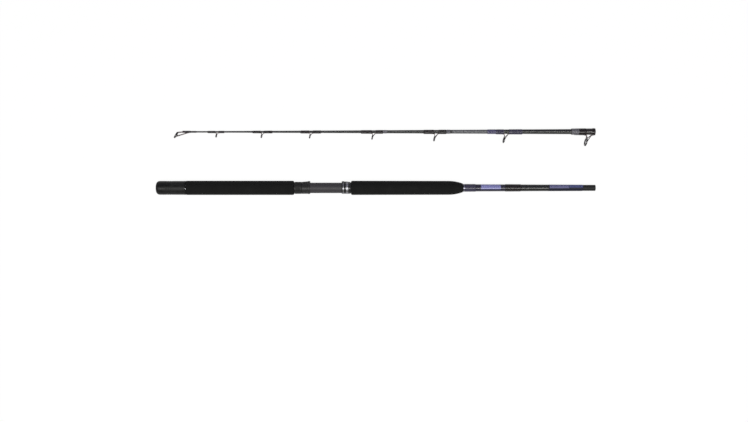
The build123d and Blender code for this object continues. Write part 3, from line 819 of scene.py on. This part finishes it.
def hoodShell(name, length, fromHood, toHood, bore, dressed):    # dressed: with flutes and a rim
    deep = length - seatShape["footReach"]
    edge = hoodShape["edge"]
    rim = hoodRadius + hoodShape["rimRise"]
    outline = [(0, bore), (0, hoodRadius)]
    radii = [0, edge]
    if dressed:
        rimStart = length - hoodShape["rimLength"]
        outline += [(hoodShape["fluteStart"], hoodRadius), (hoodShape["fluteEnd"], hoodRadius),
                    (rimStart - hoodShape["rimRamp"], hoodRadius), (rimStart, rim), (length, rim)]
        radii += [0, 0, 0, hoodShape["rimRound"], edge]
    else:
        outline += [(length * 0.5, hoodRadius), (length, hoodRadius)]
        radii += [0, edge]
    outline += [(length, bore), (deep, bore), (deep - hoodShape["pocketStep"], bore)]
    radii += [0, 0, 0]
    turned = [(fromHood(x), radius) for x, radius in softCorners(outline, radii)]
    hood = turnPiece(name, turned, rounds["seat"])
    if dressed:
        angles = hoodShape["fluteAngles"]
        pickFaces(hood, lambda spot, way:
                  hoodShape["fluteStart"] < toHood(spot.x) < hoodShape["fluteEnd"]
                  and math.hypot(spot.y, spot.z) > hoodRadius - edge
                  and min(offAngle(spot, angle) for angle in angles) < hoodShape["fluteHalf"])
        bpy.ops.mesh.inset(thickness=hoodShape["fluteEdge"], depth=-hoodShape["fluteDepth"])
        bpy.ops.object.mode_set(mode="OBJECT")
    raiseMouth(hood, length, toHood)
    hollowMouth(hood, length, toHood, bore)
    return hood


def makeHoods():
    hood = hoodShell("sliding_hood_shell", slideEnd - slideStart, lambda x: slideStart + x,
                     lambda x: x - slideStart, seatBore, True)
    paintPiece(hood, paints["hoodSatin"])
    handOver(hood, buttPlace, "sliding_hood", "sliding_hood")
    hood = hoodShell("fixed_hood_shell", fixedEnd - fixedStart, lambda x: fixedEnd - x,
                     lambda x: fixedEnd - x, barrelRadius, False)
    paintPiece(hood, paints["hoodDark"])
    handOver(hood, buttPlace, butt, "fixed_hood")


bandShape = {"starts": (2.6 * mm, 10.0 * mm), "widths": (2.4 * mm, 5.2 * mm), "rise": 0.3 * mm,
             "sink": 0.3 * mm, "edge": 0.2 * mm}


def makeBands():
    low = hoodRadius - bandShape["sink"]
    high = hoodRadius + bandShape["rise"]
    radii = [0, bandShape["edge"], bandShape["edge"], 0]
    rings = []
    for start, width in zip(bandShape["starts"], bandShape["widths"]):
        x0 = fixedStart + start
        x1 = x0 + width
        outline = [(x0, low), (x0, high), (x1, high), (x1, low)]
        ring = turnPiece("band", softCorners(outline, radii), rounds["seat"])
        raiseMouth(ring, fixedEnd - fixedStart, lambda x: fixedEnd - x)
        rings.append(ring)
    rings = joinPieces(rings, "fixed_hood_rings")
    paintPiece(rings, paints["brightBand"])
    handOver(rings, buttPlace, butt, "fixed_hood_bands")


makeBarrel()
makeLockNut()
makeHoods()
makeBands()
for name, paint in (("seat_arbors", "arbor"), ("sliding_hood_cushion", "cushion"),
                    ("fixed_hood_cushion", "cushion")):
    paintPiece(nodes[name], paints[paint])    # hidden fittings keep their CAD shape
print("stage: reel seat made")


# butt blank with its painted labels, and its trim

labels = {                     # stations along the butt section; tilt and half angle of the painted side
    "lavender": {"start": 0.7556, "end": 0.8013, "colour": (0.175, 0.175, 0.38), "tilt": 36, "half": 58},
    "violet": {"start": 0.9152, "end": 0.9600, "colour": (0.105, 0.105, 0.21), "tilt": 44, "half": 54},
    "navy": {"start": 0.9607, "end": 0.9925, "colour": (0.060, 0.070, 0.18), "tilt": 52, "half": 52},
}
navyZone = {"start": 0.7450, "end": 0.8120, "colour": (0.012, 0.010, 0.026)}
farZone = {"start": 0.9140, "end": 0.9940, "colour": (0.002, 0.002, 0.014)}
plainEnd = {"start": 0.9120, "end": 1.1, "coat": 0.04, "roughness": 0.66, "edge": 3.0 * mm}
buttShape = {"wall": 2.0 * mm, "stepEnd": 0.2 * mm, "colour": (0.005, 0.0052, 0.0058),
             "tape": 7 * mm, "coat": 0.6, "roughness": 0.3, "zoneEdge": 0.8 * mm,
             "labelEdge": 1.2 * mm, "sideEdge": 0.08}


def makeButtBlank():
    shoulder = maleEnd["pos_m"][0] - buttOrigin.x - maleEnd["dims"]["length_mm"] / 2 * mm
    step = (shoulder + buttShape["stepEnd"], maleEnd["dims"]["r_mm"] * mm)    # the sleeve's mouth stops here
    outer = buttOutline[:-1] + [step] + buttOutline[-1:]
    inner = [(station, radius - buttShape["wall"]) for station, radius in reversed(buttOutline)]
    blank = turnPiece("butt_blank_tube", outer + inner, rounds["butt"])
    paint, colour = makeBlank("buttBlankGloss", buttShape["colour"], buttShape["tape"])
    for zone in (navyZone, farZone):
        mask = stripe(paint, buttPlace, zone["start"], zone["end"], buttShape["zoneEdge"])
        colour = mixColours(paint, mask, colour, zone["colour"])
    radius = radiusAt(buttOutline, navyZone["end"])
    for label in labels.values():
        along = stripe(paint, buttPlace, label["start"], label["end"], buttShape["labelEdge"])
        around = sideMask(paint, buttPlace, label["tilt"], label["half"], radius, buttShape["sideEdge"])
        colour = mixColours(paint, doMath(paint, "MULTIPLY", along, around), colour, label["colour"])
    feedShader(paint, "Base Color", colour)
    mask = stripe(paint, buttPlace, plainEnd["start"], plainEnd["end"], plainEnd["edge"])
    feedShader(paint, "Coat Weight", spread(paint, mask, buttShape["coat"], plainEnd["coat"], 0, 1))
    feedShader(paint, "Roughness",
               spread(paint, mask, buttShape["roughness"], plainEnd["roughness"], 0, 1))
    paintPiece(blank, paint)
    handOver(blank, buttPlace, butt, "butt_blank")


windingShape = {"edge": 0.12 * mm, "slope": 1.6 * mm, "sink": 0.15 * mm, "slopeShare": 0.25,
                "bulge": (0.3, 0.55), "buttWall": 0.6 * mm, "trimWall": 0.42 * mm,
                "tipTopWall": 0.4 * mm}
checkRounds = [0, 0.3 * mm, 1.0 * mm, 0]


def threadSleeve(name, start, end, surface, wall, lift, steps):      # a band of thread, epoxy ends rounded
    slope = min(windingShape["slope"], (end - start) * windingShape["slopeShare"])
    early, rise = windingShape["bulge"]
    stops = [(start, 0), (start + slope * early, rise), (start + slope, 1.0), (end - slope, 1.0),
             (end - slope * early, rise), (end, 0)]
    outline = [(start, radiusAt(surface, start) - windingShape["sink"])]
    for station, share in stops:
        height = windingShape["edge"] + (wall - windingShape["edge"]) * share
        outline.append((station, radiusAt(surface, station) + height + lift))
    outline.append((end, radiusAt(surface, end) - windingShape["sink"]))
    band = turnPiece(name, outline, steps)
    if lift:
        placeMesh(band, Matrix.Translation((0, 0, lift)))
    return band


def makeButtTrim():
    start, end = cadSpan("winding_check", buttPlace)
    outer = cadRadius("winding_check")
    bore = radiusAt(buttOutline, end) - overlap
    outline = [(start, bore), (start, outer), (end, outer), (end, bore)]
    check = turnPiece("winding_check_ring", softCorners(outline, checkRounds), rounds["butt"])
    paintPiece(check, paints["checkRing"])
    handOver(check, buttPlace, butt, "winding_check")
    for name, slot, paint in (("foregrip_winding", "thread_violet", "threadViolet"),
                              ("label_winding", "thread_black", "threadBlack")):
        start, end = cadSpan(name, buttPlace)
        band = threadSleeve(name + "_thread", start, end, buttOutline, windingShape["buttWall"], 0,
                            rounds["butt"])
        paintPiece(band, paints[paint])
        handOver(band, buttPlace, butt, name)


makeButtBlank()
makeButtTrim()
print("stage: butt blank and trim made")


# tip section: blank, ferrule sleeve

tip = "tip_section"
tipOutline = cadOutline("tip_blank", tipPlace)
sleeveOutline = cadOutline("ferrule_sleeve", tipPlace)
sleeveEnd, sleeveRadius = sleeveOutline[-1]
tipSurface = [sleeveOutline[0], sleeveOutline[-1],
              (sleeveEnd + 0.01 * mm, radiusAt(tipOutline, sleeveEnd))]
tipSurface += [point for point in tipOutline if point[0] > sleeveEnd + mm]
greyZone = {"start": 0.252, "end": 0.333, "colour": (0.075, 0.076, 0.085), "edge": 2.5 * mm}
tipShape = {"wall": 0.9 * mm, "colour": (0.004, 0.0042, 0.0045), "tape": 5 * mm}
sleeveShape = {"rounds": [0.2 * mm, 0.35 * mm, 0.5 * mm, 0, 0, 0], "colour": (0.008, 0.006, 0.0065),
               "tape": 6 * mm}


def makeTipBlank():
    inner = [(station, radius - tipShape["wall"]) for station, radius in reversed(tipOutline)]
    blank = turnPiece("tip_blank_tube", tipOutline + inner, rounds["tip"])
    paint, colour = makeBlank("tipBlankGloss", tipShape["colour"], tipShape["tape"])
    mask = stripe(paint, tipPlace, greyZone["start"], greyZone["end"], greyZone["edge"])
    feedShader(paint, "Base Color", mixColours(paint, mask, colour, greyZone["colour"]))
    paintPiece(blank, paint)
    handOver(blank, tipPlace, tip, "tip_blank")


def makeSleeve():
    socketRadius = socket["dims"]["r_mm"] * mm
    depth = socket["dims"]["length_mm"] * mm
    inner = radiusAt(tipOutline, depth) - overlap
    outline = [(0, socketRadius), (0, sleeveOutline[0][1]), (sleeveEnd, sleeveRadius),
               (sleeveEnd, inner), (depth, inner), (depth, socketRadius)]
    soft = softCorners(outline, sleeveShape["rounds"])
    sleeve = turnPiece("ferrule_sleeve_tube", soft, rounds["butt"])
    paint, colour = makeBlank("sleeveGloss", sleeveShape["colour"], sleeveShape["tape"])
    feedShader(paint, "Base Color", colour)
    paintPiece(sleeve, paint)
    handOver(sleeve, tipPlace, tip, "ferrule_sleeve")


makeTipBlank()
makeSleeve()
print("stage: tip blank made")


# guides: ring, holder, bent wire legs, and the thread over their feet

guideShape = {"lean": 12.0, "rake": 0.42, "holderWall": 0.9 * mm, "holderWidth": 2.5 * mm,
              "holderRounds": [0.1 * mm, 0.4 * mm, 0.4 * mm, 0.1 * mm], "ringWidth": 3.2 * mm,
              "ringWall": 0.14, "ringRound": 0.15 * mm, "wireShare": 0.095, "wireLeast": 1.45 * mm,
              "footShare": 0.2, "footLeast": 1.6 * mm, "footHeight": 0.8 * mm, "footEnd": 0.3,
              "footNarrow": 0.55, "footSink": 0.2 * mm, "footEdge": 0.25 * mm, "sharpest": 40,
              "footCover": 2.4 * mm, "footBack": 0.5, "frontAngle": 150, "frontSpread": 0.36,
              "rearAngle": 100, "rearSpread": 0.30, "waist": 0.55, "waistOut": 0.04,
              "bend": 0.6 * mm, "heel": 0.7, "toe": 2.6, "toeDrop": 0.15 * mm, "wrapWall": 0.45 * mm}
wrapColours = {6: ("thread_violet", "threadViolet"), 7: ("thread_black", "threadFerrule")}


def ringPlaceOf(name, lean):   # where a ceramic ring stands, read from its CAD node
    points = cadPoints(name, tipPlace)
    middle = [(min(p[axis] for p in points) + max(p[axis] for p in points)) / 2 for axis in range(3)]
    place = Matrix.Translation(middle) @ Matrix.Rotation(math.radians(lean), 4, "Y")
    return place, max(abs(p.y) for p in points)


def ceramicRing(name, place, outer, node, wall, wider=1.0):
    half = guideShape["ringWidth"] * wider / 2
    soft = min(wall * 0.48, half * 0.8)
    radii = [guideShape["ringRound"], soft, soft, guideShape["ringRound"]]
    outline = [(-half, outer), (-half, outer - wall), (half, outer - wall), (half, outer)]
    ring = turnPiece(name, softCorners(outline, radii, 5), rounds["ring"])
    paintPiece(ring, paints["ceramic"])
    handOver(ring, tipPlace @ place, tip, node)


def holderRing(place, outer, wider=1.0):
    half = guideShape["holderWidth"] * wider / 2
    wall = guideShape["holderWall"]
    outline = [(-half, outer), (-half, outer + wall), (half, outer + wall), (half, outer)]
    ring = turnPiece("holder", softCorners(outline, guideShape["holderRounds"]), rounds["ring"])
    paintPiece(ring, paints["holderSteel"])
    placeMesh(ring, place)
    return ring


def rimSpot(place, reach, side, angle):       # a point of the holder, angle degrees from its top
    turn = math.radians(angle)
    return place @ Vector((0, side * reach * math.sin(turn), reach * math.cos(turn)))


def footBar(start, end, width):               # stamped foot: flat, thinning to its end, edges rounded
    way = 1 if end > start else -1
    low, high = min(start, end), max(start, end)
    middle = (low + high) / 2
    base = min(radiusAt(tipSurface, low), radiusAt(tipSurface, high)) - guideShape["footSink"]
    top = radiusAt(tipSurface, start) + guideShape["footHeight"]
    deselectAll()
    bpy.ops.mesh.primitive_cube_add(size=1, location=(middle, 0, (base + top) / 2),
                                    scale=(high - low, width, top - base))
    foot = bpy.context.object
    applyPlace()
    pickVerts(foot, lambda spot: (spot.x - middle) * way > 0)
    bpy.ops.transform.resize(value=(1, guideShape["footNarrow"], 1), center_override=(end, 0, base))
    pickVerts(foot, lambda spot: (spot.x - middle) * way > 0 and spot.z > (base + top) / 2)
    drop = radiusAt(tipSurface, end) + guideShape["footHeight"] * guideShape["footEnd"] - top
    bpy.ops.transform.translate(value=(0, 0, drop))
    bpy.ops.object.mode_set(mode="OBJECT")
    useModifier(foot, "BEVEL", width=guideShape["footEdge"], segments=3, limit_method="ANGLE",
                angle_limit=math.radians(guideShape["sharpest"]))
    paintPiece(foot, paints["wireSteel"])
    return foot


def wrapRanges(name, frontRoot, rearRoot):
    stations = [point.x for point in cadPoints(name, tipPlace)]
    middle = (frontRoot + rearRoot) / 2
    front = [station for station in stations if station > middle]
    rear = [station for station in stations if station < middle]
    return (min(front), max(front)), (min(rear), max(rear))


def guideLeg(rim, root, side, way, spreadOut, wire, ringSize):
    foot = Vector((root, side * spreadOut, radiusAt(tipSurface, root) + 0.5 * wire))
    waist = rim.lerp(foot, guideShape["waist"])
    waist += Vector((0, side * guideShape["waistOut"] * ringSize, 0))
    bend = foot + Vector((0, 0, guideShape["bend"]))
    heel = foot + Vector((way * guideShape["heel"] * wire, 0, 0))
    toe = foot + Vector((way * guideShape["toe"] * wire, 0, -guideShape["toeDrop"]))
    leg = bentWire("leg", (rim, waist, bend, heel, toe), wire)
    paintPiece(leg, paints["wireSteel"])
    return leg


def makeGuide(number):
    name = "guide_" + str(number)
    place, outer = ringPlaceOf(name + "_ring", guideShape["lean"])
    ringSize = 2 * (outer + guideShape["holderWall"])
    ceramicRing(name + "_ceramic", place, outer, name + "_ring", ringSize * guideShape["ringWall"])
    station, height = place.translation.x, place.translation.z
    frontRoot = station - ringSize / 4 * math.sin(math.radians(guideShape["lean"]))
    rearRoot = frontRoot - guideShape["rake"] * height
    wire = max(ringSize * guideShape["wireShare"], guideShape["wireLeast"])
    footWidth = max(ringSize * guideShape["footShare"], guideShape["footLeast"])
    reach = outer + guideShape["holderWall"] / 2
    front, rear = wrapRanges(name + "_wraps", frontRoot, rearRoot)
    parts = [holderRing(place, outer)]
    for root, leg, way, far in ((frontRoot, "front", 1, front[1]), (rearRoot, "rear", -1, rear[0])):
        spreadOut = footWidth * guideShape[leg + "Spread"]
        for side in (-1, 1):
            rim = rimSpot(place, reach, side, guideShape[leg + "Angle"])
            parts.append(guideLeg(rim, root, side, way, spreadOut, wire, ringSize))
        parts.append(footBar(root - way * wire * guideShape["footBack"],
                             far - way * guideShape["footCover"], footWidth))
    frameWork = joinPieces(parts, name + "_wirework")
    handOver(frameWork, tipPlace, tip, name + "_frame")
    lift = guideShape["footHeight"] / 2
    wall = guideShape["wrapWall"]
    threads = [threadSleeve("wrap", start, end, tipSurface, wall, lift, rounds["tip"])
               for start, end in (front, rear)]
    threads = joinPieces(threads, name + "_threads")
    slot, paint = wrapColours.get(number, ("thread_black", "threadBlack"))
    paintPiece(threads, paints[paint])
    handOver(threads, tipPlace, tip, name + "_wraps")


for number in range(1, 8):
    makeGuide(number)
print("stage: guides made")


trimColours = ("threadSilver", "threadBlue", "threadSilver", "threadSilver")   # from the ferrule outwards
trimGap = 40 * mm              # the trim windings are farther apart than this


def makeTrimWindings():
    stations = sorted(point.x for point in cadPoints("trim_windings", tipPlace))
    gaps = [index for index in range(1, len(stations))
            if stations[index] - stations[index - 1] > trimGap]
    rings = []
    for first, last, paint in zip([0] + gaps, gaps + [len(stations)], trimColours):
        band = threadSleeve("trim", stations[first], stations[last - 1], tipSurface,
                            windingShape["trimWall"], 0, rounds["tip"])
        paintPiece(band, paints[paint])
        rings.append(band)
    handOver(joinPieces(rings, "trim_threads"), tipPlace, tip, "trim_windings")


tipTopShape = {"tubeLength": 19.0 * mm, "tubeWall": 0.85 * mm, "tubeEnd": 1.0 * mm,
               "tubeRounds": [0, 0.3 * mm, 1.2 * mm, 0, 0, 0], "lean": 32.0, "ringWider": 1.2,
               "wire": 1.8 * mm, "armWire": 2.2 * mm, "armAngle": 156, "armBack": 2.5,
               "armSink": 0.3, "armOut": 0.15, "armStops": (0.5, 0.8), "strutAngle": 60,
               "strutSetback": 4.0 * mm, "strutOut": 0.5, "strutSink": 0.25, "strutRun": 1.6,
               "strutRise": 0.1, "strutStops": (0.4, 0.75)}


def braceWire(name, root, away, rim, stops, wire):       # from the tube to the holder
    route = [root, root + Vector(away)] + [root.lerp(rim, share) for share in stops] + [rim]
    brace = bentWire(name, route, wire)
    paintPiece(brace, paints["wireSteel"])
    return brace


def makeTipTop():
    shape = tipTopShape
    place, outer = ringPlaceOf("tip_top_ring", shape["lean"])
    ringSize = 2 * (outer + guideShape["holderWall"])
    ceramicRing("tip_top_ceramic", place, outer, "tip_top_ring", ringSize * guideShape["ringWall"],
                shape["ringWider"])
    front = tipOutline[-1][0] + shape["tubeWall"]
    back = front - shape["tubeLength"]
    tubeRadius = radiusAt(tipOutline, back) + shape["tubeWall"]
    bore = radiusAt(tipOutline, back) - overlap
    inside = front - shape["tubeEnd"]
    outline = [(back, bore), (back, tubeRadius), (front, tubeRadius), (front, 0), (inside, 0),
               (inside, bore)]
    tube = turnPiece("tube", softCorners(outline, shape["tubeRounds"]), rounds["tipTop"])
    paintPiece(tube, paints["holderSteel"])
    parts = [tube, holderRing(place, outer, shape["ringWider"])]
    wire, armWire = shape["wire"], shape["armWire"]
    reach = outer + guideShape["holderWall"] / 2
    for side in (-1, 1):
        rim = rimSpot(place, reach, side, shape["armAngle"])
        root = Vector((front - shape["armBack"] * armWire,
                       side * (tubeRadius - armWire * shape["armSink"]), 0))
        away = (armWire, side * shape["armOut"] * armWire, 0)
        parts.append(braceWire("arm", root, away, rim, shape["armStops"], armWire))
        rim = rimSpot(place, reach, side, shape["strutAngle"])
        root = Vector((back + shape["strutSetback"], side * wire * shape["strutOut"],
                       tubeRadius - wire * shape["strutSink"]))
        away = (shape["strutRun"] * wire, 0, shape["strutRise"] * wire)
        parts.append(braceWire("strut", root, away, rim, shape["strutStops"], wire))
    handOver(joinPieces(parts, "tip_top_wirework"), tipPlace, tip, "tip_top_frame")
    start, end = cadSpan("tip_top_winding", tipPlace)
    band = threadSleeve("tip_top_thread", start, end, tipSurface, windingShape["tipTopWall"], 0,
                        rounds["tipTop"])
    paintPiece(band, paints["threadBlack"])
    handOver(band, tipPlace, tip, "tip_top_winding")


makeTrimWindings()
makeTipTop()
print("stage: tip-top made")
